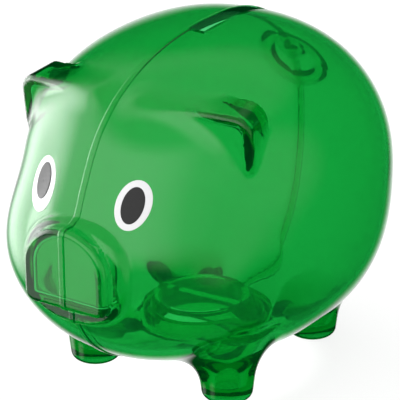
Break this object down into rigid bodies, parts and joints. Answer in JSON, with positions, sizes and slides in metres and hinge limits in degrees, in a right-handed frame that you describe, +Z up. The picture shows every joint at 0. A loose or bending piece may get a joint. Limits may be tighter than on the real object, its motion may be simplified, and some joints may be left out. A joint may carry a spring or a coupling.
{
  "type": "piggy bank",
  "caption": "Hollow see-through pig-shaped money box in green plastic, with a coin slot on its back, printed oval eyes and a press-in belly stopper.",
  "frame": {"origin": "middle of the pig's footprint, on the plane its feet stand on", "axes": "+Z up; -Y forwards, out of the snout; +X to the pig's own left"},
  "size_m": [0.0926, 0.119, 0.095],
  "materials": {
    "green_shell": "glossy transparent green plastic",
    "green_stopper": "glossy transparent green plastic, slightly denser than the shell",
    "white_print": "semi-gloss white pad print",
    "black_print": "semi-gloss black pad print"
  },
  "bodies": {
    "shell": {"left_shell": "green_shell", "right_shell": "green_shell", "left_eye_white": "white_print", "left_eye_pupil": "black_print", "right_eye_white": "white_print", "right_eye_pupil": "black_print"},
    "stopper": {"belly_stopper": "green_stopper"}
  },
  "joints": [
    {"name": "stopper_pull", "type": "slide", "parent": "shell", "child": "stopper", "axis": [0, 0, -1], "range_m": [0, 0.025]}
  ]
}
